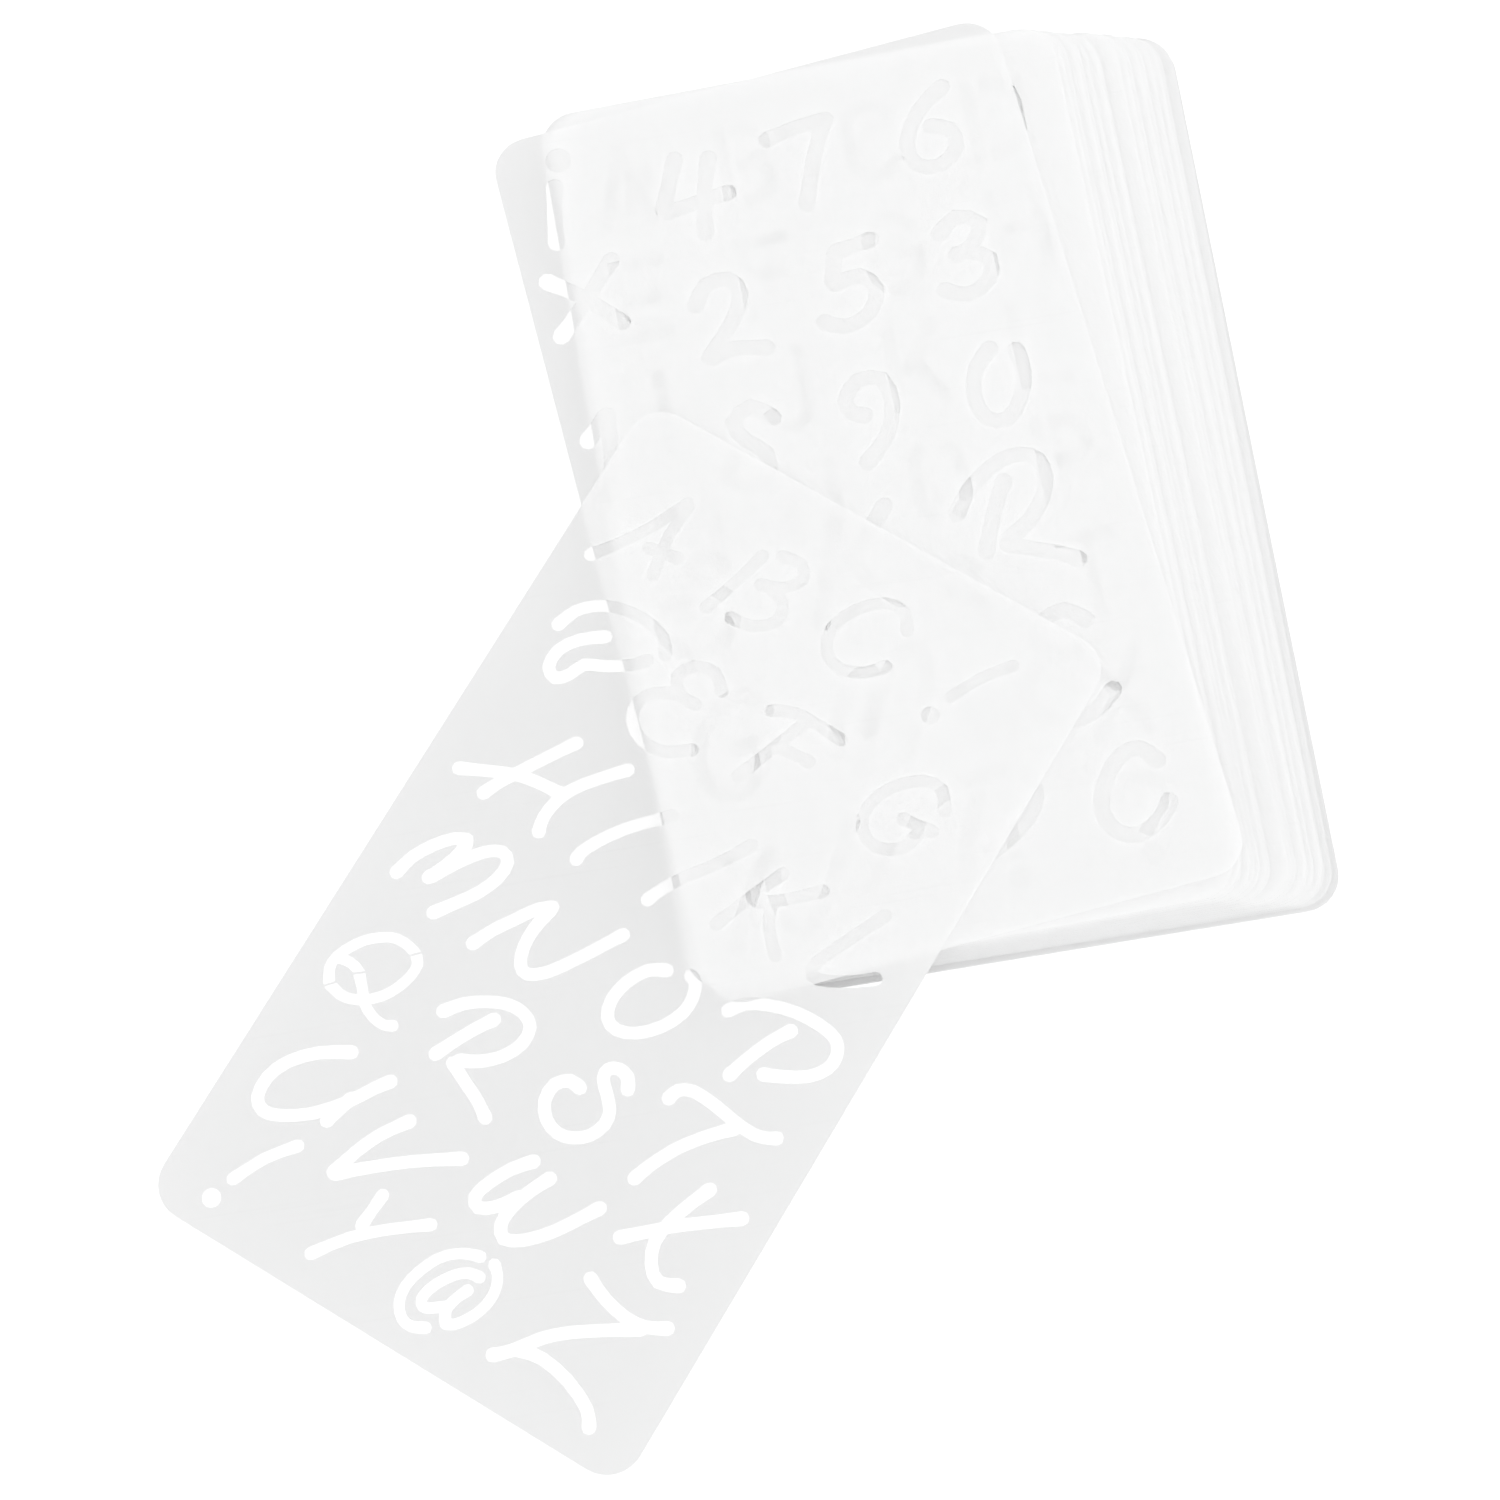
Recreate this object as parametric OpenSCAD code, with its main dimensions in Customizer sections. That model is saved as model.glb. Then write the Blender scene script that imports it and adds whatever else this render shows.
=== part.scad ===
// Pack of loose lettering stencil sheets: a spread stack, with the two top sheets swivelled out.
// The stack's bottom sheet lies square to X and Y, and everything stands on Z = 0.

/* [Sheets] */
// Width of every sheet, its short side
sheet_w = 102; // [90:1:120]
// Length of every sheet, its long side
sheet_l = 177; // [160:1:200]
// Thickness of the plastic
sheet_t = 0.3; // [0.2:0.05:0.5]
// Radius of the rounded corners
corner_r = 7; // [3:0.5:12]
// Air left between one sheet and the next
sheet_gap = 0.05; // [0.03:0.01:0.2]

/* [Stack] */
// How far the lowest of the spread sheets lies to the left of the bottom sheet
first_x = 1; // [0:0.1:5]
// How far it lies along its length from the bottom sheet
first_y = 1; // [0:0.1:5]
// Its turn from the bottom sheet, in degrees
first_turn = -0.2; // [-2:0.1:2]
// How far the top sheet of the stack lies to the left of the bottom sheet
last_x = 21.4; // [5:0.1:30]
// How far it lies along its length from the bottom sheet
last_y = 3.2; // [0:0.1:8]
// Its turn from the bottom sheet, in degrees
last_turn = 1.3; // [-3:0.1:6]
// Wider step halfway up the spread, beyond the even steps
half_x = 1.8; // [0:0.1:4]
// Unevenness of the spread, sideways
uneven_x = 0.35; // [0:0.05:0.8]
// Unevenness of the sheets' turn, in degrees
uneven_turn = 0.1; // [0:0.05:0.5]

/* [Swivelled sheets] */
// Centre of the second sheet from the stack's centre, along X
second_x = -25; // [-40:0.1:10]
// Centre of the second sheet from the stack's centre, along Y
second_y = 3.1; // [-10:0.1:20]
// Turn of the second sheet, in degrees
second_turn = 5.8; // [0:0.1:20]
// Centre of the fanned sheet from the stack's centre, along X
fanned_x = -78.7; // [-90:0.1:-40]
// Centre of the fanned sheet from the stack's centre, along Y
fanned_y = -71.7; // [-90:0.1:-40]
// Turn of the fanned sheet, in degrees
fanned_turn = -39.8; // [-60:0.1:0]

/* [Lettering] */
// Height of the standard block capitals
cap_h = 17.5; // [14:0.5:19]
// Height of the small letters' tall stems
small_h = 15.5; // [12:0.5:16]
// Height of the large capitals and figures
large_cap_h = 25; // [20:0.5:27]
// Stroke weight of the block letters, as a share of their height
block_weight = 0.15; // [0.1:0.01:0.17]
// Stroke weight of the fine letters, as a share of their height
fine_weight = 0.1; // [0.08:0.01:0.12]
// Stroke weight of the heavy letters, as a share of their height
heavy_weight = 0.17; // [0.14:0.01:0.18]
// Lean of the slanted letters, in degrees
slant = 14; // [0:1:18]
// Width of the brush strokes on the fanned sheet
brush_w = 2.3; // [1.6:0.1:2.6]
// Width of the bolder brush strokes on the second sheet
bold_brush_w = 3; // [2:0.1:3.2]
// How much a brush stroke swells at its ends
brush_swell = 0.15; // [0:0.05:0.4]
// Width of the thin bridges across a brush stroke
thin_bridge = 0.45; // [0.3:0.05:0.8]
// Bare border beside the lettering
side_margin = 8.5; // [7:0.5:10]
// Bare border above and below the lettering
end_margin = 9; // [8:0.5:12]

/* [Hidden] */
NODES = [
    "fanned_brush_capitals_sheet", "second_brush_figures_sheet",
    "block_capitals_sheet", "round_small_letters_sheet", "large_capitals_a_to_o_sheet",
    "fine_capitals_sheet", "slanted_capitals_sheet", "narrow_figures_sheet",
    "block_small_letters_sheet", "large_capitals_p_to_z_sheet", "round_capitals_sheet",
    "heavy_figures_sheet", "fine_small_letters_sheet", "narrow_capitals_sheet",
    "slanted_small_letters_sheet", "round_figures_sheet", "narrow_small_letters_sheet",
    "slanted_figures_sheet", "punctuation_sheet", "bottom_large_figures_sheet"
];

frost = [0.93, 0.94, 0.94, 0.85];
// Sheets in the stack, counted from the bottom one, below the two swivelled sheets
stack_n = len(NODES) - 2;
layer_h = sheet_t + sheet_gap;
// A letter's drawing grid: ten units high, six wide
grid_h = 10;
grid_w = 6;
// Cutters stand this far out of both faces, and each next stroke a little farther
cutter_out = 1;
cutter_step = 0.05;
// Size of the sheet that the brush lettering was laid out on, which its letters' places refer to
layout_w = 102;
layout_l = 177;
corner_steps = 8;
cap_steps = 4;
curve_steps = 2;
arc_step = 30;
dot_steps = 20;

// Where a sheet of the stack lies: x, y and turn, from its place counted from the bottom
function share(i) = (i - 1) / (stack_n - 2);
function stack_place(i) = [
    -first_x - (last_x - first_x - half_x) * share(i) - (share(i) > 0.5 ? half_x : 0)
        + uneven_x * sin(i * 137),
    first_y + (last_y - first_y) * share(i),
    first_turn + (last_turn - first_turn) * share(i) + uneven_turn * sin(i * 254)
];
function place(i) =
    i == stack_n + 1 ? [fanned_x, fanned_y, fanned_turn]
    : i == stack_n ? [second_x, second_y, second_turn]
    : i > 0 ? stack_place(i)
    : [0, 0, 0];

// Half the width and depth that a rounded sheet covers once it is turned
function reach_x(a) =
    abs((sheet_w / 2 - corner_r) * cos(a)) + abs((sheet_l / 2 - corner_r) * sin(a)) + corner_r;
function reach_y(a) =
    abs((sheet_w / 2 - corner_r) * sin(a)) + abs((sheet_l / 2 - corner_r) * cos(a)) + corner_r;
places = [for (i = [0:stack_n + 1]) place(i)];
middle_x = (min([for (p = places) p.x - reach_x(p[2])])
    + max([for (p = places) p.x + reach_x(p[2])])) / 2;
middle_y = (min([for (p = places) p.y - reach_y(p[2])])
    + max([for (p = places) p.y + reach_y(p[2])])) / 2;

// Outline of a rectangle with round corners, centred
function corner(cx, cy, from) =
    [for (k = [0:corner_steps]) [cx, cy] + corner_r * [cos(from + 90 * k / corner_steps),
        sin(from + 90 * k / corner_steps)]];
function sheet_outline() =
    let (x = sheet_w / 2 - corner_r, y = sheet_l / 2 - corner_r)
    concat(corner(x, y, 0), corner(-x, y, 90), corner(-x, -y, 180), corner(x, -y, 270));

// Points of a circular arc about (cx, cy), from one angle to another
function arc(cx, cy, r, from, to) =
    let (n = ceil(abs(to - from) / arc_step))
    [for (k = [0:n]) [cx, cy] + r * [cos(from + (to - from) * k / n), sin(from + (to - from) * k / n)]];

// A smooth curve through the points of a brush stroke
function spline_point(p, i, t) =
    let (n = len(p) - 1, b = p[i], c = p[i + 1],
        a = i > 0 ? p[i - 1] : 2 * b - c, d = i + 1 < n ? p[i + 2] : 2 * c - b)
    0.5 * (2 * b + (c - a) * t + (2 * a - 5 * b + 4 * c - d) * t * t
        + (3 * b - a - 3 * c + d) * t * t * t);
function smooth(p) = concat(
    [for (i = [0:len(p) - 2]) for (k = [0:curve_steps - 1]) spline_point(p, i, k / curve_steps)],
    [p[len(p) - 1]]);

// A path without repeated points
function distinct(p) = [for (i = [0:len(p) - 1]) if (i == 0 || norm(p[i] - p[max(0,
    i - 1)]) > 0.001) p[i]];

// Unit direction of a path at point i, and the miter that keeps its width at a corner
function unit(v) = v / norm(v);
function way(p, i) = i == 0 ? unit(p[1] - p[0]) : i == len(p) - 1 ? unit(p[i] - p[i - 1])
    : unit(unit(p[i] - p[i - 1]) + unit(p[i + 1] - p[i]));
function miter(p, i) = i == 0 || i == len(p) - 1 ? 1 : 1 / max(0.5, way(p, i) * unit(p[i + 1] - p[i]));
function side(v) = [-v.y, v.x];
// Half the width of a stroke at point i, swelling towards both ends
function half_w(w, swell, i, n) = w / 2 * (1 + swell * pow(2 * i / n - 1, 6));
// The round end of a stroke, or the two corners of a square one
function stroke_end(c, v, h, is_round) =
    is_round ? [for (k = [1:cap_steps - 1]) let (a = 90 - 180 * k / cap_steps)
        c + h * (cos(a) * v + sin(a) * side(v))]
    : [c + h * (v + side(v)), c + h * (v - side(v))];
// The closed outline of a stroke of width w that follows the path p
function stroke_outline(p, w, swell, is_round) =
    let (n = len(p) - 1)
    concat(
        [for (i = [0:n]) p[i] + side(way(p, i)) * half_w(w, swell, i, n) * miter(p, i)],
        stroke_end(p[n], way(p, n), half_w(w, swell, n, n), is_round),
        [for (i = [n:-1:0]) p[i] - side(way(p, i)) * half_w(w, swell, i, n) * miter(p, i)],
        stroke_end(p[0], -way(p, 0), half_w(w, swell, 0, n), is_round));
function dot_outline(c, r) = [for (k = [0:dot_steps - 1]) c + r * [cos(360 * k / dot_steps),
    sin(360 * k / dot_steps)]];

// Block letters on the drawing grid. Each is a list of strokes, and a stroke of one point is a dot.
// Closed counters stay joined to the sheet by bridges: gaps left between the strokes.
bowl_top = concat([[2.5, 10]], arc(3.4, 7.4, 2.6, 90, -90), [[2.5, 4.8]]);
half_ring_left = concat(arc(3, 7, 3, 128, 180), arc(3, 3, 3, 180, 232));
half_ring_right = concat(arc(3, 3, 3, 308, 360), arc(3, 7, 3, 0, 52));
stem = [[0, 0], [0, 10]];
short_stem = [[0, 0], [0, 6.4]];
bowl_left = arc(2.7, 3.2, 2.7, 80, 280);
bowl_right = arc(3.3, 3.2, 2.7, -100, 100);
six = [concat(arc(3, 7, 3, 35, 180), arc(3, 3, 3, 180, 232)), arc(3, 3, 3, 308, 454)];
function upside_down(g) = [for (s = g) [for (q = s) [grid_w, grid_h] - q]];

function capital(c) =
    c == "A" ? [[[0, 0], [3, 10]], [[3.2, 9.6], [6, 0]], [[3.9, 3.3], [4.6, 3.3]]]
    : c == "B" ? [stem, concat([[2.5, 10]], arc(3.4, 7.7, 2.3, 90, -80)),
        concat([[2.5, 5]], arc(3.4, 2.5, 2.5, 90, -90), [[2.5, 0]])]
    : c == "C" ? [concat(arc(3, 7, 3, 25, 180), arc(3, 3, 3, 180, 335))]
    : c == "D" ? [stem, concat([[2.5, 10]], arc(3, 7, 3, 90, 0), arc(3, 3, 3, 0, -90), [[2.5, 0]])]
    : c == "E" ? [[[5.5, 10], [0, 10], [0, 0], [5.5, 0]], [[0.5, 5.1], [4.4, 5.1]]]
    : c == "F" ? [[[5.5, 10], [0, 10], [0, 0]], [[0.5, 5.3], [4.4, 5.3]]]
    : c == "G" ? [concat(arc(3, 7, 3, 30, 180), arc(3, 3, 3, 180, 360), [[6, 4.7], [4, 4.7]])]
    : c == "H" ? [stem, [[6, 0], [6, 10]], [[0.3, 5.1], [5.7, 5.1]]]
    : c == "I" ? [[[3, 0], [3, 10]]]
    : c == "J" ? [concat([[5, 10]], arc(2.5, 2.6, 2.5, 0, -165))]
    : c == "K" ? [stem, [[5.8, 10], [1.6, 4.6]], [[2.8, 5.8], [6, 0]]]
    : c == "L" ? [[[0, 10], [0, 0], [5.2, 0]]]
    : c == "M" ? [stem, [[0.3, 9.6], [3.3, 3]], [[3.5, 3.2], [6.4, 9.6]], [[6.7, 10], [6.7, 0]]]
    : c == "N" ? [stem, [[0.3, 9.6], [5.7, 0.4]], [[6, 0], [6, 10]]]
    : c == "O" ? [half_ring_left, half_ring_right]
    : c == "P" ? [stem, bowl_top]
    : c == "Q" ? [half_ring_left, half_ring_right, [[4, 2], [6.6, -1]]]
    : c == "R" ? [stem, bowl_top, [[3.4, 4.4], [6, 0]]]
    : c == "S" ? [concat(arc(3, 7.5, 2.5, 25, 270), arc(3, 2.5, 2.5, 90, -155))]
    : c == "T" ? [[[0, 10], [6, 10]], [[3, 9.4], [3, 0]]]
    : c == "U" ? [concat([[0, 10]], arc(3, 3, 3, 180, 360), [[6, 10]])]
    : c == "V" ? [[[0, 10], [2.9, 0]], [[3.1, 0.3], [6, 10]]]
    : c == "W" ? [[[0, 10], [1.7, 0]], [[1.9, 0.3], [3.4, 8.5]], [[3.6, 8.2], [5.1, 0]],
        [[5.3, 0.3], [7, 10]]]
    : c == "X" ? [[[0, 0], [6, 10]], [[0, 10], [6, 0]]]
    : c == "Y" ? [[[0, 10], [2.9, 5]], [[6, 10], [3.1, 4.8]], [[3, 4.6], [3, 0]]]
    : [[[0, 10], [5.8, 10]], [[5.9, 9.7], [0.1, 0.3]], [[0.2, 0], [6, 0]]];

function figure(c) =
    c == "0" ? [half_ring_left, half_ring_right]
    : c == "1" ? [[[1.2, 8], [2.6, 9.4]], [[3, 10], [3, 0]]]
    : c == "2" ? [concat(arc(3, 7.2, 2.8, 160, -35), [[0.4, 0.5]]), [[0.2, 0], [6, 0]]]
    : c == "3" ? [arc(3, 7.6, 2.4, 150, -75), arc(3, 2.6, 2.6, 80, -150)]
    : c == "4" ? [[[4.7, 0], [4.7, 10]], [[1.8, 7.5], [0.3, 4.4]], [[0.2, 2.6], [6, 2.6]]]
    : c == "5" ? [[[5.4, 10], [0.6, 10], [0.4, 6]], arc(2.7, 3, 3, 125, -150)]
    : c == "6" ? six
    : c == "7" ? [[[0, 10], [5.8, 10]], [[5.9, 9.6], [2, 0]]]
    : c == "8" ? [arc(3, 7.6, 2.4, 140, 220), arc(3, 7.6, 2.4, 320, 400), arc(3, 2.6, 2.6, 140, 220),
        arc(3, 2.6, 2.6, 320, 400)]
    : upside_down(six);

function mark(c) =
    c == "?" ? [concat(arc(3, 7.2, 2.8, 170, -60), [[3.2, 3.2]]), [[3.1, 0]]]
    : c == "!" ? [[[3, 3.2], [3, 10]], [[3, 0]]]
    : c == "." ? [[[3, 0]]]
    : c == ":" ? [[[3, 1.5]], [[3, 5.5]]]
    : c == "," ? [arc(1.4, 0.6, 1.6, 20, -70)]
    : c == "+" ? [[[0.4, 5], [5.6, 5]], [[3, 2.4], [3, 7.6]]]
    : c == "-" ? [[[0.6, 5], [5.4, 5]]]
    : c == "=" ? [[[0.6, 3.6], [5.4, 3.6]], [[0.6, 6.6], [5.4, 6.6]]]
    : c == "/" ? [[[0.4, 0], [5.6, 10]]]
    : c == "(" ? [arc(8, 5, 5.6, 118, 242)]
    : c == ")" ? [arc(-2, 5, 5.6, -62, 62)]
    : c == "*" ? [[[0.6, 5], [5.4, 5]], [[1.8, 2.9], [4.2, 7.1]], [[1.8, 7.1], [4.2, 2.9]]]
    : c == "$" ? [concat(arc(3, 7, 2.2, 25, 270), arc(3, 2.6, 2.2, 90, -155)), [[3, 9.4],
        [3, 10.6]], [[3, 0], [3, -1.1]]]
    : [];

function small(c) =
    c == "a" ? [bowl_left, [[6, 0], [6, 6.4]]]
    : c == "b" ? [stem, bowl_right]
    : c == "c" ? [arc(3, 3.2, 3, 50, 310)]
    : c == "d" ? [bowl_left, [[6, 0], [6, 10]]]
    : c == "e" ? [[[2.6, 3.1], [5.5, 3.1]], arc(3, 3.2, 3, 5, 290)]
    : c == "f" ? [concat(arc(4, 8, 2, 60, 180), [[2, 0]]), [[0.4, 6.2], [4.6, 6.2]]]
    : c == "g" ? [bowl_left, concat([[6, 6.4]], arc(3.2, -0.6, 2.8, 0, -140))]
    : c == "h" ? [stem, concat(arc(3, 3.4, 3, 155, 0), [[6, 0]])]
    : c == "i" ? [[[3, 0], [3, 6]], [[3, 9]]]
    : c == "j" ? [concat([[3.6, 6]], arc(1.6, -1, 2, 0, -120)), [[3.6, 9]]]
    : c == "k" ? [stem, [[4.8, 6.4], [1.4, 2.9]], [[2.5, 3.9], [5.2, 0]]]
    : c == "l" ? [[[3, 0], [3, 10]]]
    : c == "m" ? [short_stem, concat(arc(2, 4.3, 1.9, 155, 0), [[3.9, 0]]),
        concat(arc(5.8, 4.3, 1.9, 155, 0), [[7.7, 0]])]
    : c == "n" ? [short_stem, concat(arc(3, 3.4, 3, 155, 0), [[6, 0]])]
    : c == "o" ? [arc(3, 3.2, 3, 128, 232), arc(3, 3.2, 3, 308, 412)]
    : c == "p" ? [[[0, -2.6], [0, 6.4]], bowl_right]
    : c == "q" ? [bowl_left, [[6, -2.6], [6, 6.4]]]
    : c == "r" ? [short_stem, arc(3, 3.4, 3, 155, 65)]
    : c == "s" ? [concat(arc(2.6, 4.9, 1.7, 30, 270), arc(2.6, 1.5, 1.7, 90, -150))]
    : c == "t" ? [concat([[2, 9]], arc(4, 2, 2, 180, 300)), [[0.2, 6.2], [4.4, 6.2]]]
    : c == "u" ? [concat([[0, 6.4]], arc(3, 3, 3, 180, 325)), [[6, 6.4], [6, 0]]]
    : c == "v" ? [[[0, 6.4], [2.5, 0]], [[2.7, 0.3], [5.2, 6.4]]]
    : c == "w" ? [[[0, 6.4], [1.7, 0]], [[1.9, 0.3], [3.4, 5.6]], [[3.6, 5.3], [5.1, 0]],
        [[5.3, 0.3], [7, 6.4]]]
    : c == "x" ? [[[0, 0], [5.2, 6.4]], [[0, 6.4], [5.2, 0]]]
    : c == "y" ? [[[0, 6.4], [2.8, 0.6]], [[5.6, 6.4], [1.8, -2.6]]]
    : [[[0.3, 6.4], [4.9, 6.4]], [[5, 6.1], [0.3, 0.3]], [[0.4, 0], [5.2, 0]]];

function letter(c) =
    c >= "A" && c <= "Z" ? capital(c)
    : c >= "a" && c <= "z" ? small(c)
    : c >= "0" && c <= "9" ? figure(c)
    : mark(c);

// Brush letters in millimetres, as loose hand lettering. Strokes break where the pen turns sharply,
// and closed counters keep a bridge.
function brush(c) =
    c == "A" ? [[[-0.3, -2], [3.6, 3.2], [7, 8.8], [10.4, 15.8]], [[10.8, 15.4], [10.6, 8.5],
        [12, 0.5]], [[8.6, 4.6], [14.4, 5.6]]]
    : c == "B" ? [[[4, 14], [2.4, 7.5], [0, 0]], [[7.4, 15.8], [11, 16.3], [13, 13.8], [10.5, 10.5],
        [6.6, 9]],
        [[8.4, 9.4], [12, 8], [13, 4.5], [9.5, 1.2], [5, 0.6]]]
    : c == "C" ? [[[13, 13], [10.5, 16], [6.5, 15.5], [2.5, 11.5], [0.5, 6.5], [2, 2], [6, 0.3],
        [10.5, 2.2], [13, 5]]]
    : c == "D" ? [[[0.6, 8.2], [2, 12], [4.8, 14.8], [8.6, 16.6], [14, 17.2], [19, 16],
        [21.2, 13.2]], [[9.6, 10.6], [5.6, 7.6], [3.2, 3.8], [3.4, 0.2], [5.6, -1], [7.6, 1],
        [9, 4], [12.4, 5.6], [16.8, 8.4], [18.8, 10.6]]]
    : c == "E" ? [[[12, 13.5], [9, 16], [5, 15], [3.2, 11.8], [5.5, 9], [9, 8.8]], [[5, 8.8],
        [1.4, 7], [-0.5, 4], [0.4, 0.2], [4.2, -2.2], [9, -1.8], [13, 1]]]
    : c == "F" ? [[[1, 14], [6, 16], [15, 15.6]], [[7.6, 15.2], [5, 8], [2, 0]], [[5.6, 8.6], [12, 9]]]
    : c == "G" ? [[[13.5, 12.5], [11, 15.8], [7, 15.5], [2.8, 11.5], [0.8, 6.5], [2, 2], [6, 0.3],
        [10.3, 2.6], [11.5, 7]], [[7.6, 7.4], [13.5, 8]]]
    : c == "H" ? [[[17.2, 18.3], [14.2, 13.7], [10.5, 7.7], [8.5, 4.3], [7.2, 1.4]], [[0.7, 3.1],
        [5.5, 5.3], [10.2, 7.3], [14.8, 8.2], [19.5, 8.5]], [[28.2, 18.7], [24.2, 14.3],
        [20.8, 9.7], [19.4, 5], [19.5, 1.9], [20, 0.3]]]
    : c == "I" ? [[[8.4, 14.4], [6, 12], [2, 7.7], [-1, 3.3], [-2.6, 0], [-2.7, -1.6]]]
    : c == "J" ? [[[11, 17], [7.4, 11], [3.4, 5.6], [1, 1.6], [-0.3, -1.5]]]
    : c == "K" ? [[[6, 15], [3, 8], [0, 0]], [[14.5, 16], [9, 10.8], [4.6, 7.8]], [[7, 9],
        [9.2, 4.5], [13, 0.5]]]
    : c == "L" ? [[[8, 18], [4.6, 11], [1.6, 4.2], [2.2, 1.6], [5, 2.2], [9, 4.4], [12.4, 7]]]
    : c == "M" ? [[[0.2, 2.4], [1.2, 6.4], [3.4, 10.2], [6, 13.2], [8.2, 14.2]], [[8.6, 13.4],
        [8.2, 10.3], [6.9, 6.9], [5.9, 4.6]], [[6.2, 5], [9, 9.6], [12.2, 13.8], [15.1, 15.6],
        [17.1, 14.4], [17.1, 11], [15.4, 6.8], [12.8, 3], [10.2, -0.6]]]
    : c == "N" ? [[[-0.9, 0.2], [1, 4.2], [3.7, 8.3], [6, 11.7], [8.2, 13.4]], [[8.2, 12.8],
        [7.4, 8.3], [7.6, 4.3], [8.8, 1.3], [10.9, 0.4], [14, 2.8], [17.4, 7.7], [20.4, 12.6],
        [22.2, 15.6]]]
    : c == "O" ? [[[5.6, 14], [2.6, 12.2], [0.4, 8.4], [-0.3, 4.2], [0.8, 1], [3.4, -0.1], [7, 1.3],
        [10.3, 4.7], [12.2, 8.6], [12.4, 12], [11.4, 14.6], [10, 15.4]]]
    : c == "P" ? [[[12, 13.4], [9.8, 9.8], [7.8, 5], [6.5, 0.8]], [[0.2, 10.8], [2.2, 13.4],
        [6, 15.4], [11, 16.8], [16, 17], [19.8, 16.2], [21.5, 13.8], [21.3, 10.8], [19, 7.8],
        [15, 5.4], [11.8, 4]]]
    : c == "Q" ? [[[12.7, 14.5], [11.7, 15], [9.4, 15.4], [6.9, 15], [4.2, 13.2], [1.9, 10.6],
        [0.1, 6.8], [0.2, 4.2], [1.7, 1.9]], [[1.7, 1.9], [4.4, 1.2], [6.6, 1.5], [9, 2.7],
        [11.4, 4.9], [13, 7.7], [13.9, 10.6], [13.9, 13.1], [12.7, 14.5]], [[0.6, 6.9], [2.9, 7.2],
        [4.7, 6.8], [5.4, 6.3]], [[5.4, 6.4], [7.7, 3.9], [9.7, 1.8], [12.1, 0.7], [14.6, 0.5],
        [16, 1.2]]]
    : c == "R" ? [[[9, 14.6], [7, 11.5], [5, 7.8], [3.1, 3.8]], [[0.1, 11.2], [2.6, 14.3],
        [6, 16.7], [9.6, 18.3], [13, 18.4], [15.5, 16.8], [15.8, 13.4], [14.2, 10], [11.2, 7],
        [7.6, 5]], [[6.8, 4], [10.4, 2.2], [14.3, 0.4], [17.2, -1.5]]]
    : c == "S" ? [[[13.9, 13.6], [12.7, 15.5], [10.6, 16], [8.9, 15], [9, 13], [11, 11],
        [13.1, 8.6], [13.6, 6], [12.4, 3], [10, 1], [7, 0.3], [4, 1.4], [1.9, 4.2], [1.9, 7.6],
        [4, 9.6], [6.2, 9.4]]]
    : c == "T" ? [[[0.2, 15], [0.9, 17.1], [3.4, 18.4], [8, 18.2], [13, 17.4], [17, 17.2],
        [19.6, 18], [20.8, 18.7]], [[13.4, 16.4], [9.4, 12.2], [6, 7.6], [3.6, 2.8], [2.4, -0.6]]]
    : c == "U" ? [[[11.1, 17.7], [6, 14.6], [2, 10.4], [0.2, 6], [0.6, 2], [2.8, 0.4], [6, 1.2],
        [11, 4.6], [15.4, 9.6], [18.4, 14.4], [20.2, 16.8]], [[15.6, 10.4], [14.6, 6.8], [14, 4.8]]]
    : c == "V" ? [[[7.1, 15.4], [3.8, 10.6], [1.6, 5.6], [0.1, 0.5]], [[0.5, 0.4], [5.8, 5],
        [11.8, 9.7], [19, 14.5]]]
    : c == "W" ? [[[11, 17.2], [8.2, 13.9], [6, 9.6], [5.2, 6.4], [6.8, 5], [9.6, 6.9],
        [12.2, 10.4]], [[15.2, 16.1], [13.4, 12.5], [12, 8.1], [11.9, 4.6], [13.7, 2.6], [17, 4.2],
        [20.8, 8.3], [23.8, 12.9], [25.8, 16.1]]]
    : c == "X" ? [[[10.7, 19.6], [9, 15.6], [7.5, 11], [7, 6.6], [8.5, 2.8], [11.3, 0.7],
        [14.8, 2]], [[18.4, 18.1], [12.5, 13.7], [7.8, 10], [1.2, 4]]]
    : c == "Y" ? [[[5.6, 15.5], [5.2, 9]], [[16, 15.5], [10, 11], [4.5, 6], [0, 0]]]
    : c == "Z" ? [[[8, 20.5], [12, 18.8], [17, 17.8], [21, 18.2], [24.5, 20]], [[20.4, 17.4],
        [16, 14.6], [10, 10.6], [6, 7], [2.5, 2.4], [0, 0]],
        [[3.6, 3.2], [8, 4], [14, 3], [19.5, 0.5], [21.5, -2]]]
    : c == "!" ? [[[8.5, 16], [4.5, 11], [1.5, 4.9]], [[0, 0]]]
    : c == "@" ? [[[8.8, 16.2], [6.6, 15.5], [4.3, 14.1], [2.3, 11.9], [0.7, 8.5], [-0.1, 4.9],
        [0.5, 1.7], [2.5, -0.4], [4.7, -0.7], [7, 0.4]], [[11.7, 16.3], [13.1, 15.1], [14.2, 12.9],
        [14.3, 9.6], [13.1, 6.2], [11.1, 3.5], [9.7, 2.9]],
        [[10.6, 13], [8.4, 12.6], [6.4, 10.9], [4.5, 8], [3.6, 5.2], [4, 3.7], [5.2, 3.4], [6.7, 4.4],
        [8.3, 5.5]], [[10, 9.9], [9, 7.7], [8.5, 5.2], [9.2, 3.5]]]
    : brush_figure(c);
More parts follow.
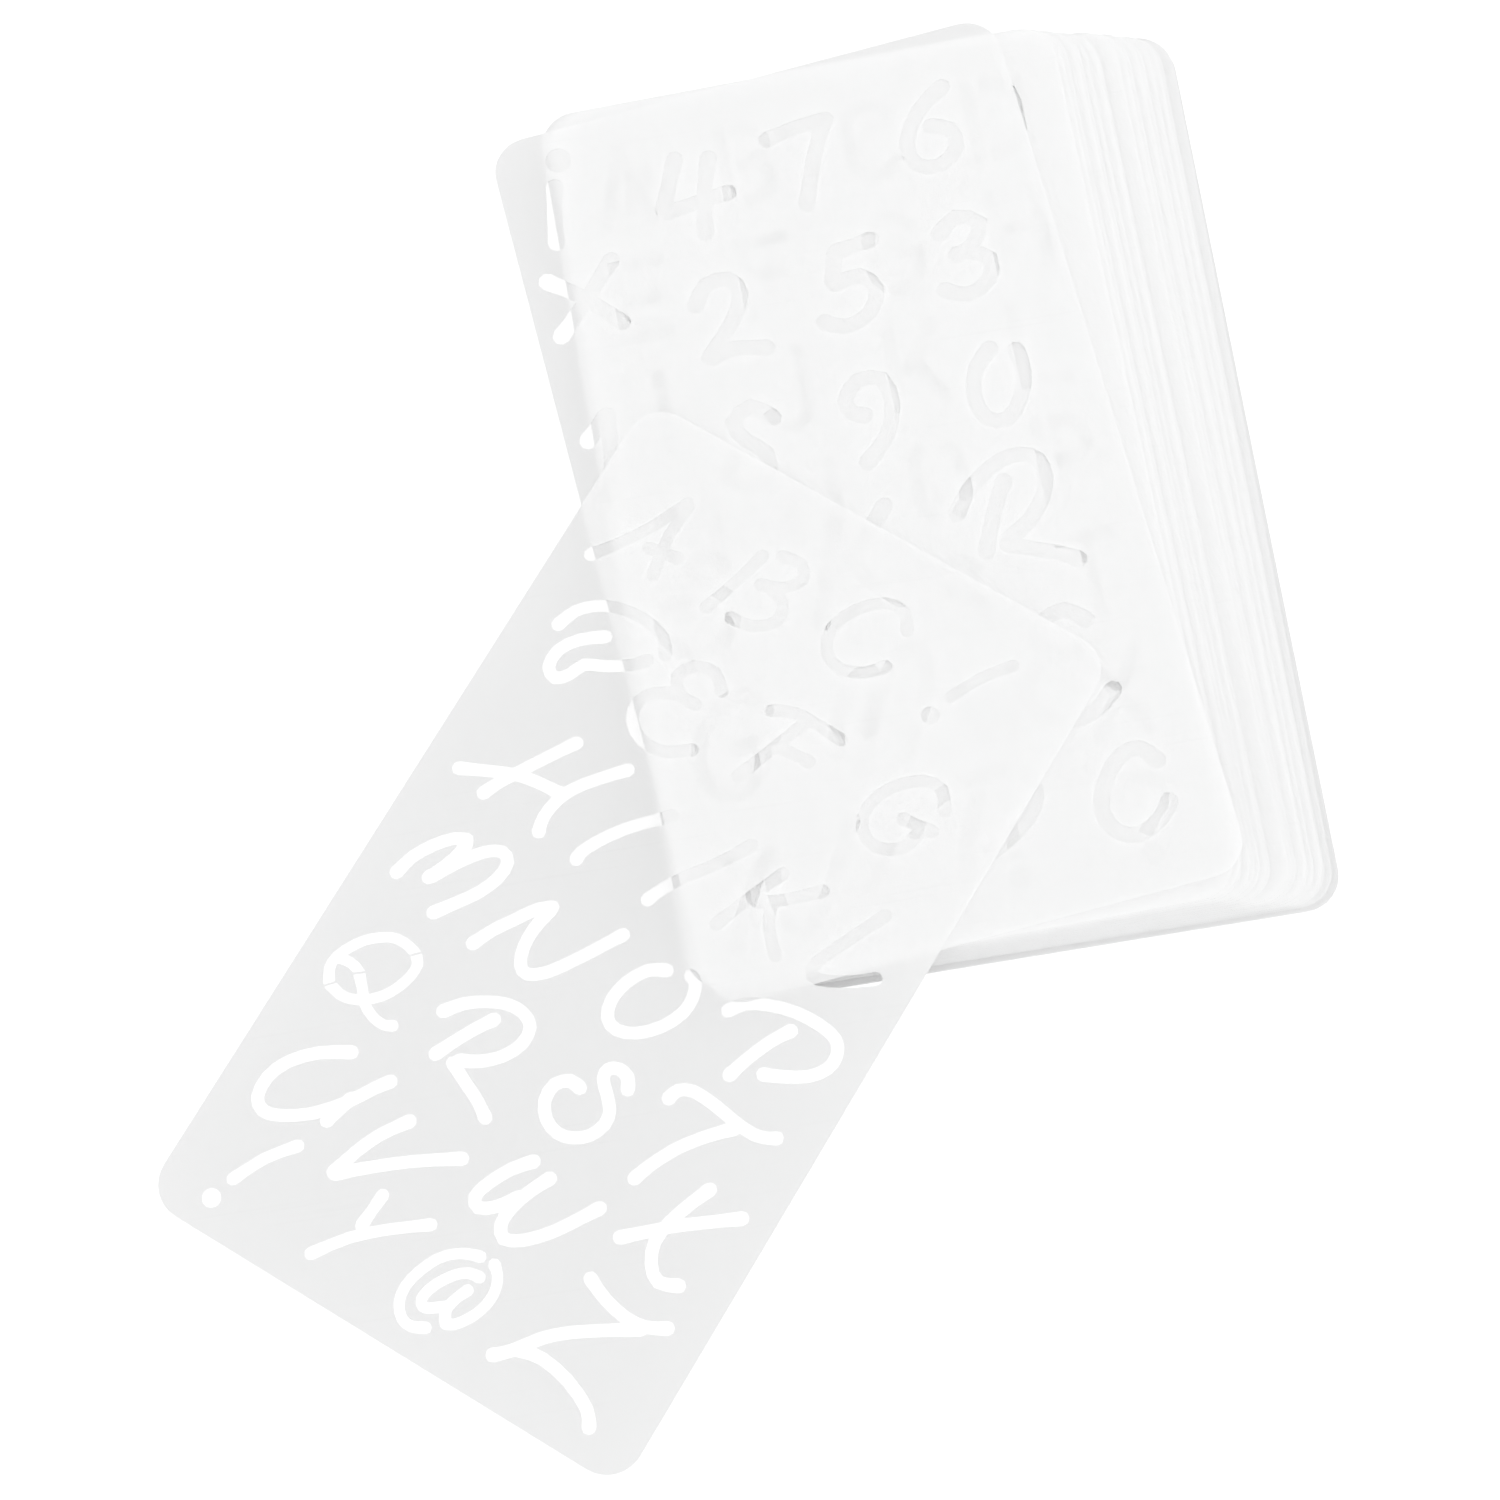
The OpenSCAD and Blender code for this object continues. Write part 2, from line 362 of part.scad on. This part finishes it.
function brush_figure(c) =
    c == "0" ? [[[6, 15.2], [2.4, 12], [0.6, 7], [1.6, 2], [5.4, 0.6], [9, 4], [11, 9], [10.8, 13.6]]]
    : c == "1" ? [[[0, 12], [4.2, 15.8]], [[4.6, 16], [3.6, 8], [1.4, 0]]]
    : c == "2" ? [[[1, 12], [4, 15.6], [8.5, 15.6], [10, 12], [7, 7], [1, 1]], [[1.6, 0.8],
        [6, 1.6], [12, 0]]]
    : c == "3" ? [[[2, 13.5], [6, 16], [10, 13.6], [7.6, 9.6], [4, 8.4]], [[6.4, 8.6], [10, 6],
        [8.6, 1.8], [4, 0], [0, 2]]]
    : c == "4" ? [[[4.6, 15.6], [0, 6]], [[0.6, 5.2], [6, 5.6], [13, 6]], [[11, 14], [8.4, 7],
        [6.6, -1]]]
    : c == "5" ? [[[12, 16], [5, 15.4]], [[4.4, 14.8], [2.6, 9.4]], [[3, 9], [8, 9.4], [10.4, 6],
        [8, 1.6], [3, 0], [-1, 2]]]
    : c == "6" ? [[[10.6, 16], [5, 12.4], [1, 6.6], [1.6, 1.6], [6, 0.2], [10, 3], [9.8, 7],
        [6.4, 8.6]]]
    : c == "7" ? [[[0, 14.6], [6, 15.6], [12, 15.6]], [[11.4, 15], [7.6, 8], [4, -0.6]]]
    : c == "8" ? [[[11.6, 13], [8, 16.2], [4, 14], [5.4, 10], [8.6, 6.4], [7.6, 1.6], [3.4, 0.4],
        [0.4, 3.4], [2.2, 7]]]
    : c == "9" ? [[[4.5, 8.7], [2.4, 9.8], [1.8, 12.6], [5, 15.8], [9.6, 14.8], [10.2, 9.4],
        [7.4, 3.4], [2.6, -0.6]]]
    : c == "i" ? [[[2.4, 11.4], [1, 5.6], [0, 0]], [[4.4, 16.6]]]
    : c == "x" ? [[[0, 14], [6, 9], [12, 2]], [[0, 2.4], [5, 7], [13, 15]]]
    : [[[0, 6], [6, 7], [12, 6.6]]];

// Share of the brush's width that a letter is drawn with
function pen(c) = c == "@" || c == "Q" ? 0.84 : c == "Y" || c == "!" ? 0.9 : 1;
// Thin bridges across a letter's strokes: the middle of each and its direction
function thin_bridges(c) = c == "Q" ? [[12.6, 14.7, 47], [1.8, 1.9, 49], [5.4, 6.4, 39]] : [];

module blank_sheet() {
    linear_extrude(sheet_t) polygon(sheet_outline());
}

// One stroke's cutter; a stroke of one point cuts a round dot
module cut(stroke, w, swell, is_round, level) {
    p = distinct(stroke);
    out = cutter_out + cutter_step * level;
    translate([0, 0, -out])
        linear_extrude(sheet_t + 2 * out)
            polygon(len(p) == 1 ? dot_outline(p[0], 0.85 * w) : stroke_outline(p, w, swell, is_round));
}

// A block letter h high with strokes of weight w, its lower left corner at the origin
module cut_letter(c, h, w, lean = 0, narrow = 1, is_round = false) {
    u = (h - w) / grid_h;
    strokes = letter(c);
    for (k = [0:1:len(strokes) - 1])
        cut([for (q = strokes[k]) [w / 2 + u * narrow * q.x + u * q.y * tan(lean),
        w / 2 + u * q.y]], w, 0, is_round, k);
}

module brush_strokes(c, at, size, w) {
    strokes = brush(c);
    for (k = [0:1:len(strokes) - 1])
        cut([for (q = len(strokes[k]) > 1 ? smooth(strokes[k]) : strokes[k]) at + size * q], w,
        len(strokes[k]) > 1 ? brush_swell : 0, true, k);
}

module cut_brush(c, at, size, w) {
    bars = thin_bridges(c);
    if (len(bars) == 0)
        brush_strokes(c, at, size, w);
    else
        difference() {
            brush_strokes(c, at, size, w);
            for (b = bars)
                translate([at.x + size * b.x, at.y + size * b.y, -2 * cutter_out])
                    rotate([0, 0, b[2]])
                        translate([-0.8 * w, -thin_bridge / 2, 0])
                            cube([1.6 * w, thin_bridge, sheet_t + 4 * cutter_out]);
        }
}

// Rows of block letters, spread evenly between the margins; tail leaves room below for descenders
module cut_rows(rows, h, weight, lean = 0, narrow = 1, is_round = false, tail = 0) {
    wide = h * 0.66 * narrow + h * tan(lean);
    room_y = sheet_l - 2 * end_margin - h - tail * h;
    for (r = [0:len(rows) - 1]) for (k = [0:len(rows[r]) - 1])
        translate([
            -sheet_w / 2 + side_margin + (sheet_w - 2 * side_margin - wide) * k / max(1,
            len(rows[0]) - 1),
            sheet_l / 2 - end_margin - h - room_y * r / max(1, len(rows) - 1), 0])
            cut_letter(rows[r][k], h, weight * h, lean, narrow, is_round);
}

// Brush letters, each with its own place from the layout's lower left corner. The layout keeps its
// size in the middle of a larger sheet, and shrinks as a whole to fit a smaller one
module cut_brush_letters(letters, w) {
    fit = min(1, sheet_w / layout_w, sheet_l / layout_l);
    for (l = letters)
        cut_brush(l[0], fit * [l[1] - layout_w / 2, l[2] - layout_l / 2], fit * l[3],
        fit * w * pen(l[0]));
}

// Lays a sheet at its place in the pack, counted from the bottom
module laid(i) {
    color(frost)
        translate([places[i].x - middle_x, places[i].y - middle_y, i * layer_h])
            rotate([0, 0, places[i][2]])
                children();
}

module stencil(i) {
    laid(i) difference() {
        blank_sheet();
        children();
    }
}

CAPITALS = ["ABCD", "EFGH", "IJKL", "MNOP", "QRST", "UVWX", "YZ!?"];
SMALL_LETTERS = ["abcd", "efgh", "ijkl", "mnop", "qrst", "uvwx", "yz"];
FIGURES = ["123", "456", "789", "0+="];

module fanned_brush_capitals_sheet() {
    stencil(19) cut_brush_letters([
        ["A", 7, 147, 1], ["B", 31, 147, 1], ["C", 53, 149, 1], ["!", 78, 150, 1],
        ["D", 8, 122, 1], ["E", 30, 121, 1], ["F", 51, 122, 1], ["G", 76, 123, 1],
        ["H", 6.5, 94, 1], ["I", 38, 95, 1], ["J", 51, 95, 1], ["K", 64, 96, 0.95],
        ["L", 82, 95, 1],
        ["M", 7.5, 72, 1], ["N", 28, 70, 1], ["O", 55, 70, 1], ["P", 74, 72.5, 1],
        ["Q", 6.5, 48.5, 1], ["R", 29, 45.5, 1], ["S", 52, 48, 1], ["T", 73, 49, 1],
        ["U", 7.5, 24, 1], ["V", 27.5, 21, 1], ["W", 47, 24.5, 1], ["X", 77.5, 34, 1],
        ["!", 10.9, 6.2, 1], ["Y", 32, 7, 1], ["@", 50, 6, 1], ["Z", 70, 8.5, 1]], brush_w);
}

module second_brush_figures_sheet() {
    stencil(18) cut_brush_letters([
        ["i", 8.3, 154, 1], ["4", 30, 149, 1], ["7", 53, 149, 1], ["6", 78, 149, 1],
        ["x", 4.6, 132.6, 1], ["2", 30, 122, 1], ["5", 55, 122, 1], ["3", 78, 122, 1],
        ["1", 4.4, 101, 1], ["8", 28, 95, 1], ["9", 52, 95, 1], ["0", 77, 95, 1],
        ["S", 7, 66, 1.15], ["K", 38, 66, 1.2], ["R", 68, 67, 1.15],
        ["G", 8, 38, 1.15], ["M", 34, 38, 1.2], ["E", 72, 38, 1.15],
        ["N", 8, 10, 1.15], ["P", 44, 11, 1.1], ["C", 78, 11, 1]], bold_brush_w);
}

module block_capitals_sheet() { stencil(17) cut_rows(CAPITALS, cap_h, block_weight); }
module round_small_letters_sheet() { stencil(16) cut_rows(SMALL_LETTERS, small_h, block_weight,
    is_round = true, tail = 0.26); }
module large_capitals_a_to_o_sheet() { stencil(15) cut_rows(["ABC", "DEF", "GHI", "JKL", "MNO"],
    large_cap_h, block_weight); }
module fine_capitals_sheet() { stencil(14) cut_rows(CAPITALS, cap_h, fine_weight); }
module slanted_capitals_sheet() { stencil(13) cut_rows(CAPITALS, cap_h, block_weight, lean = slant); }
module narrow_figures_sheet() { stencil(12) cut_rows(["1234", "5678", "90+-", "=/()"], large_cap_h,
    fine_weight, narrow = 0.65); }
module block_small_letters_sheet() { stencil(11) cut_rows(SMALL_LETTERS, small_h, block_weight,
    tail = 0.26); }
module large_capitals_p_to_z_sheet() { stencil(10) cut_rows(["PQR", "STU", "VWX", "YZ?", "!:+"],
    large_cap_h, block_weight); }
module round_capitals_sheet() { stencil(9) cut_rows(CAPITALS, cap_h, block_weight, is_round = true); }
module heavy_figures_sheet() { stencil(8) cut_rows(FIGURES, large_cap_h, heavy_weight); }
module fine_small_letters_sheet() { stencil(7) cut_rows(SMALL_LETTERS, small_h, fine_weight,
    tail = 0.26); }
module narrow_capitals_sheet() { stencil(6) cut_rows(["ABCDE", "FGHIJ", "KLMNO", "PQRST", "UVWXY",
    "Z?!:."], cap_h, fine_weight, narrow = 0.7); }
module slanted_small_letters_sheet() { stencil(5) cut_rows(SMALL_LETTERS, small_h, block_weight,
    lean = slant, tail = 0.26); }
module round_figures_sheet() { stencil(4) cut_rows(FIGURES, large_cap_h, block_weight,
    is_round = true); }
module narrow_small_letters_sheet() { stencil(3) cut_rows(["abcde", "fghij", "klmno", "pqrst",
    "uvwxy", "z"], small_h, fine_weight, narrow = 0.7, tail = 0.26); }
module slanted_figures_sheet() { stencil(2) cut_rows(FIGURES, large_cap_h, block_weight,
    lean = slant); }
module punctuation_sheet() { stencil(1) cut_rows(["?!.:", "+-=/", "()*,", "$,?!", "+*=:"], cap_h,
    block_weight); }
module bottom_large_figures_sheet() { stencil(0) cut_rows(FIGURES, large_cap_h, fine_weight); }

fanned_brush_capitals_sheet();
second_brush_figures_sheet();
block_capitals_sheet();
round_small_letters_sheet();
large_capitals_a_to_o_sheet();
fine_capitals_sheet();
slanted_capitals_sheet();
narrow_figures_sheet();
block_small_letters_sheet();
large_capitals_p_to_z_sheet();
round_capitals_sheet();
heavy_figures_sheet();
fine_small_letters_sheet();
narrow_capitals_sheet();
slanted_small_letters_sheet();
round_figures_sheet();
narrow_small_letters_sheet();
slanted_figures_sheet();
punctuation_sheet();
bottom_large_figures_sheet();
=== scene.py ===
"""Lettering stencil: a pack of loose frosted plastic stencil sheets, dressed for rendering.

The CAD sheets are shown as they are. This script gives each of them its own frosted plastic,
and adds the pale ground, the soft light and the camera.
"""
import bpy
import math
from mathutils import Matrix, Vector

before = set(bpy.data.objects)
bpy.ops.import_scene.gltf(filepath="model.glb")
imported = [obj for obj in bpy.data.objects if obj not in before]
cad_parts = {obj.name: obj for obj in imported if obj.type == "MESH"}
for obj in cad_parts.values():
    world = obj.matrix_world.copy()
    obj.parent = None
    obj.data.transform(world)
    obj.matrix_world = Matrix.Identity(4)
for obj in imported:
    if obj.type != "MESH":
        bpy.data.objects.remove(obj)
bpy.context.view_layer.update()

# Camera: nearly straight down, from a little towards the fanned sheet's end
CAMERA_PLACE = Vector((0.0152645, -0.1696318, 0.6370346))
CAMERA_RIGHT = Vector((0.98675877, -0.15365685, -0.05192983))
CAMERA_UP = Vector((0.16176980, 0.95552780, 0.24657077))
LENS = 84.0

# Light and ground. A value of 1 is white
SKY = 0.89              # even light from above
RIM = 1.70              # the light tent's walls, at the ground: they light the sheets' edges
RIM_HEIGHT = 0.45       # sine of the angle above the ground at which the walls end
NEAR = 1.25             # what the wall nearest to the viewer adds to that
NEAR_SPREAD = 0.9, 0.3  # how far towards the viewer that wall is full, and where it ends
NEAR_HEIGHT = 0.15, 0.55  # how far up that wall is full, and where it ends
LAMP = 0.10             # share of the light that comes from the big soft lamp
LAMP_SIZE = 0.9         # the lamp's width
LAMP_FAR = 1.3          # how far away it hangs
LAMP_WAY = Vector((0.50, 0.45, 1.0)).normalized()  # high up, to the picture's upper right
GROUND = 0.57           # how much light the ground sends back
GROUND_LIFT = 0.68      # what the camera sees on top of that, so that the ground is white
GROUND_HALF = 3.0       # half the ground's width
GROUND_DROP = 0.0001    # the ground lies this far under the pack

# Frosted plastic
WHITE = 0.992           # share of the light that a sheet doesn't swallow
THROUGH = 0.34          # share of it that a sheet scatters through to its other side
CLEAR = 0.02            # share that passes straight through a sheet's flat sides
EDGE_CLEAR = 0.95       # share that passes straight through its thin cut edges
EDGE_PAINTED_SHADE = 0.985      # how much greyer the cut edges are: painted shade, with a little of their own tone
EDGE_TURN = 0.3, 0.8    # a face's upward share: a cut edge below the first, flat above the second
TINT = 0.997            # red against green and blue
ROUGHNESS = 0.42
PLASTIC_IOR = 1.49
SPECULAR = 0.35
GRAIN_SCALE = 2600.0    # the fine moulded grain
GRAIN_DEPTH = 0.00006
GRAIN_STRENGTH = 0.25
CLOUD_SCALE = 24.0      # faint clouds in the milkiness
CLOUD_SPAN = 0.3, 0.7   # the part of the noise's range that they use
CLOUD_SHADE = 0.006, 0.002  # how much darker and how much lighter they make a sheet
CLOUD_ROUGHNESS = 0.05  # how much shinier and duller they make it
# Two sets of fine scuffs: their turn, their scale, and the part of the noise's range they use
SCUFFS_ALONG = 0.5, (26.0, 1500.0, 26.0), (0.66, 0.74)
SCUFFS_ACROSS = -0.9, (18.0, 1200.0, 18.0), (0.68, 0.76)
SCUFF_SHADE = 0.012     # how much darker a scuff is
SCUFF_ROUGHNESS = 0.16  # how much duller it is
SCUFF_RELIEF = 0.35     # how much it stands out against the grain


def node(tree, kind, **inputs):
    """A new node with its plain inputs set by name."""
    made = tree.nodes.new(kind)
    for name, value in inputs.items():
        made.inputs[name.replace("_", " ")].default_value = value
    return made


def maths(tree, operation, a, b=None, clamp=False):
    """The output of a Math node for a and b, each a number or a socket."""
    made = tree.nodes.new("ShaderNodeMath")
    made.operation = operation
    made.use_clamp = clamp
    for socket, value in zip(made.inputs, (a, b)):
        if value is None:
            continue
        if isinstance(value, (int, float)):
            socket.default_value = value
        else:
            tree.links.new(value, socket)
    return made.outputs[0]


def noise(tree, place, scale, detail=2.0, roughness=0.5):
    """The Fac output of a Noise Texture read at place."""
    made = tree.nodes.new("ShaderNodeTexNoise")
    made.inputs["Scale"].default_value = scale
    made.inputs["Detail"].default_value = detail
    made.inputs["Roughness"].default_value = roughness
    tree.links.new(place, made.inputs["Vector"])
    return made.outputs["Fac"]


def mapped(tree, place, shift, turn=0.0, stretch=(1.0, 1.0, 1.0)):
    """The object's own coordinates, shifted, turned and stretched for one pattern."""
    made = tree.nodes.new("ShaderNodeMapping")
    made.inputs["Location"].default_value = shift
    made.inputs["Rotation"].default_value = (0.0, 0.0, turn)
    made.inputs["Scale"].default_value = stretch
    tree.links.new(place, made.inputs["Vector"])
    return made.outputs["Vector"]


def ranged(tree, value, low, high, to_low, to_high):
    """value mapped from low..high to to_low..to_high, held at both ends."""
    made = tree.nodes.new("ShaderNodeMapRange")
    numbers = {"From Min": low, "From Max": high, "To Min": to_low, "To Max": to_high}
    for name, number in numbers.items():
        made.inputs[name].default_value = number
    tree.links.new(value, made.inputs["Value"])
    return made.outputs["Result"]


def frosted_plastic(name, seed, turn):
    """One sheet's frosted plastic: milky, lit through, fine-grained, faintly cloudy and scuffed."""
    material = bpy.data.materials.new(name)
    material.use_nodes = True
    tree = material.node_tree
    tree.nodes.clear()
    link = tree.links.new
    place = tree.nodes.new("ShaderNodeTexCoord").outputs["Object"]
    shift = (0.37 * seed, -0.23 * seed, 0.11 * seed)

    # Patterns: the moulded grain, faint clouds in the milkiness, and fine scuffs both ways
    grain = noise(tree, mapped(tree, place, shift), GRAIN_SCALE, 2.0, 0.6)
    clouds = noise(tree, mapped(tree, place, shift), CLOUD_SCALE, 3.0, 0.55)
    lines = []
    for bend, scale, span in (SCUFFS_ALONG, SCUFFS_ACROSS):
        scratches = noise(tree, mapped(tree, place, shift, turn + bend, scale), 1.0, 2.0)
        lines.append(ranged(tree, scratches, *span, 0.0, 1.0))
    scuffs = maths(tree, "MAXIMUM", *lines)

    # The cut edges: a face that stands upright is a cut edge, which gets painted shade and looks
    # greyer; a little of that is the edges' own tone
    facing = tree.nodes.new("ShaderNodeSeparateXYZ")
    link(tree.nodes.new("ShaderNodeTexCoord").outputs["Normal"], facing.inputs[0])
    upward = maths(tree, "ABSOLUTE", facing.outputs["Z"])
    flat = ranged(tree, upward, *EDGE_TURN, 0.0, 1.0)

    darker, lighter = CLOUD_SHADE
    cloudy = ranged(tree, clouds, *CLOUD_SPAN, WHITE - darker, WHITE + lighter)
    shade = maths(tree, "ADD", cloudy, maths(tree, "MULTIPLY", scuffs, -SCUFF_SHADE))
    # Painted shade: the upright cut edges are made greyer than the flat sides
    shade = maths(tree, "MULTIPLY", shade, ranged(tree, flat, 0.0, 1.0, EDGE_PAINTED_SHADE, 1.0))
    colour = tree.nodes.new("ShaderNodeCombineColor")
    link(maths(tree, "MULTIPLY", shade, TINT), colour.inputs[0])
    link(shade, colour.inputs[1])
    link(shade, colour.inputs[2])

    dull = ranged(tree, clouds, *CLOUD_SPAN, ROUGHNESS - CLOUD_ROUGHNESS,
                  ROUGHNESS + CLOUD_ROUGHNESS)
    dull = maths(tree, "ADD", dull, maths(tree, "MULTIPLY", scuffs, SCUFF_ROUGHNESS),
                 clamp=True)
    relief = tree.nodes.new("ShaderNodeBump")
    relief.inputs["Strength"].default_value = GRAIN_STRENGTH
    relief.inputs["Distance"].default_value = GRAIN_DEPTH
    height = maths(tree, "ADD", grain, maths(tree, "MULTIPLY", scuffs, SCUFF_RELIEF))
    link(height, relief.inputs["Height"])

    # The surface sends light back, and lets the rest glow through to its other side
    back = tree.nodes.new("ShaderNodeBsdfPrincipled")
    back.inputs["IOR"].default_value = PLASTIC_IOR
    back.inputs["Specular IOR Level"].default_value = SPECULAR
    link(colour.outputs[0], back.inputs["Base Color"])
    link(dull, back.inputs["Roughness"])
    link(relief.outputs["Normal"], back.inputs["Normal"])
    through = tree.nodes.new("ShaderNodeBsdfTranslucent")
    link(colour.outputs[0], through.inputs["Color"])
    link(relief.outputs["Normal"], through.inputs["Normal"])
    milky = tree.nodes.new("ShaderNodeMixShader")
    milky.inputs[0].default_value = THROUGH
    link(back.outputs[0], milky.inputs[1])
    link(through.outputs[0], milky.inputs[2])

    # Light that is already scattered, and shadow rays, meet the plastic without its fine
    # patterns, which they can't show
    plain_back = node(tree, "ShaderNodeBsdfDiffuse", Color=(WHITE, WHITE, WHITE, 1.0))
    plain_through = node(tree, "ShaderNodeBsdfTranslucent", Color=(WHITE, WHITE, WHITE, 1.0))
    plain = tree.nodes.new("ShaderNodeMixShader")
    plain.inputs[0].default_value = THROUGH
    link(plain_back.outputs[0], plain.inputs[1])
    link(plain_through.outputs[0], plain.inputs[2])
    body = tree.nodes.new("ShaderNodeMixShader")
    path = tree.nodes.new("ShaderNodeLightPath")
    scattered = maths(tree, "MAXIMUM", path.outputs["Is Diffuse Ray"],
                      path.outputs["Is Shadow Ray"])
    link(scattered, body.inputs[0])
    link(milky.outputs[0], body.inputs[1])
    link(plain.outputs[0], body.inputs[2])

    # Light crosses one milky skin a sheet: from inside, a ray leaves as it is
    inside = tree.nodes.new("ShaderNodeNewGeometry").outputs["Backfacing"]
    clear = tree.nodes.new("ShaderNodeBsdfTransparent")
    share = maths(tree, "MAXIMUM", inside, ranged(tree, flat, 0.0, 1.0, EDGE_CLEAR, CLEAR))
    skin = tree.nodes.new("ShaderNodeMixShader")
    link(share, skin.inputs[0])
    link(body.outputs[0], skin.inputs[1])
    link(clear.outputs[0], skin.inputs[2])
    out = tree.nodes.new("ShaderNodeOutputMaterial")
    link(skin.outputs[0], out.inputs["Surface"])
    return material


# Each sheet gets its own plastic, with its own share of the patterns
for count, (name, sheet) in enumerate(sorted(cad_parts.items())):
    plastic = frosted_plastic("frosted_" + name, count + 1, 0.31 * count)
    sheet.data.materials.clear()
    sheet.data.materials.append(plastic)


def pale_ground():
    """A plain matt ground that shows white and keeps the pack's shadow."""
    half = GROUND_HALF
    mesh = bpy.data.meshes.new("ground")
    corners = [(-half, -half, 0), (half, -half, 0), (half, half, 0), (-half, half, 0)]
    mesh.from_pydata(corners, [], [(0, 1, 2, 3)])
    ground = bpy.data.objects.new("ground", mesh)
    ground.location.z = -GROUND_DROP
    bpy.context.scene.collection.objects.link(ground)
    material = bpy.data.materials.new("pale_ground")
    material.use_nodes = True
    tree = material.node_tree
    tree.nodes.clear()
    link = tree.links.new
    matt = node(tree, "ShaderNodeBsdfDiffuse", Color=(GROUND, GROUND, GROUND, 1.0))
    lift = node(tree, "ShaderNodeEmission", Color=(1.0, 1.0, 1.0, 1.0))
    path = tree.nodes.new("ShaderNodeLightPath")
    # A ray that a milky sheet scatters counts as a transmission ray too, so those are taken out
    clear = maths(tree, "SUBTRACT", path.outputs["Is Transmission Ray"],
                  path.outputs["Is Diffuse Ray"], clamp=True)
    direct = maths(tree, "ADD", path.outputs["Is Camera Ray"], path.outputs["Is Glossy Ray"])
    seen = maths(tree, "ADD", direct, clear, clamp=True)
    link(maths(tree, "MULTIPLY", seen, GROUND_LIFT), lift.inputs["Strength"])
    both = tree.nodes.new("ShaderNodeAddShader")
    link(matt.outputs[0], both.inputs[0])
    link(lift.outputs[0], both.inputs[1])
    out = tree.nodes.new("ShaderNodeOutputMaterial")
    link(both.outputs[0], out.inputs["Surface"])
    mesh.materials.append(material)


pale_ground()


def soft_light():
    """A light tent all round, and one big soft lamp high up."""
    world = bpy.data.worlds.new("soft_sky")
    bpy.context.scene.world = world
    world.use_nodes = True
    tree = world.node_tree
    tree.nodes.clear()
    sky = node(tree, "ShaderNodeBackground", Color=(1.0, 1.0, 1.0, 1.0))
    path = tree.nodes.new("ShaderNodeLightPath")
    way = tree.nodes.new("ShaderNodeSeparateXYZ")
    tree.links.new(tree.nodes.new("ShaderNodeTexCoord").outputs["Generated"], way.inputs[0])
    tent = ranged(tree, way.outputs["Z"], 0.0, RIM_HEIGHT, RIM, SKY)
    full, end = NEAR_SPREAD
    near = maths(tree, "MULTIPLY", ranged(tree, way.outputs["Y"], -full, -end, NEAR, 0.0),
                 ranged(tree, way.outputs["Z"], *NEAR_HEIGHT, 1.0, 0.0))
    tent = maths(tree, "ADD", tent, near)
    away = maths(tree, "SUBTRACT", 1.0, path.outputs["Is Camera Ray"])
    strength = maths(tree, "ADD", path.outputs["Is Camera Ray"],
                     maths(tree, "MULTIPLY", away, tent))
    tree.links.new(strength, sky.inputs["Strength"])
    out = tree.nodes.new("ShaderNodeOutputWorld")
    tree.links.new(sky.outputs[0], out.inputs["Surface"])

    lamp = bpy.data.lights.new("soft_lamp", "AREA")
    lamp.shape = "DISK"
    lamp.size = LAMP_SIZE
    # A disk of radiance L lights the ground with L * pi * sin2, for a share LAMP of pi
    half = math.asin(LAMP_SIZE / 2 / math.hypot(LAMP_SIZE / 2, LAMP_FAR))
    radiance = LAMP / math.sin(half) ** 2
    lamp.energy = radiance * math.pi * math.pi * LAMP_SIZE * LAMP_SIZE / 4
    thing = bpy.data.objects.new("soft_lamp", lamp)
    bpy.context.scene.collection.objects.link(thing)
    thing.location = LAMP_WAY * LAMP_FAR
    thing.rotation_mode = "QUATERNION"
    thing.rotation_quaternion = LAMP_WAY.to_track_quat("Z", "Y")


soft_light()

# The camera
camera = bpy.data.cameras.new("camera")
camera.lens = LENS
camera.sensor_width = 36.0
camera.clip_start, camera.clip_end = 0.01, 20.0
viewer = bpy.data.objects.new("camera", camera)
bpy.context.scene.collection.objects.link(viewer)
back = CAMERA_RIGHT.cross(CAMERA_UP).normalized()
up = back.cross(CAMERA_RIGHT.normalized())
turn = Matrix((CAMERA_RIGHT.normalized(), up, back)).transposed()
viewer.matrix_world = Matrix.Translation(CAMERA_PLACE) @ turn.to_4x4()
bpy.context.scene.camera = viewer

# Light paths long enough to cross many milky sheets
scene = bpy.context.scene
scene.view_settings.view_transform = "Standard"
scene.cycles.max_bounces = 20
scene.cycles.diffuse_bounces = 16
scene.cycles.glossy_bounces = 4
scene.cycles.transmission_bounces = 12
scene.cycles.transparent_max_bounces = 64
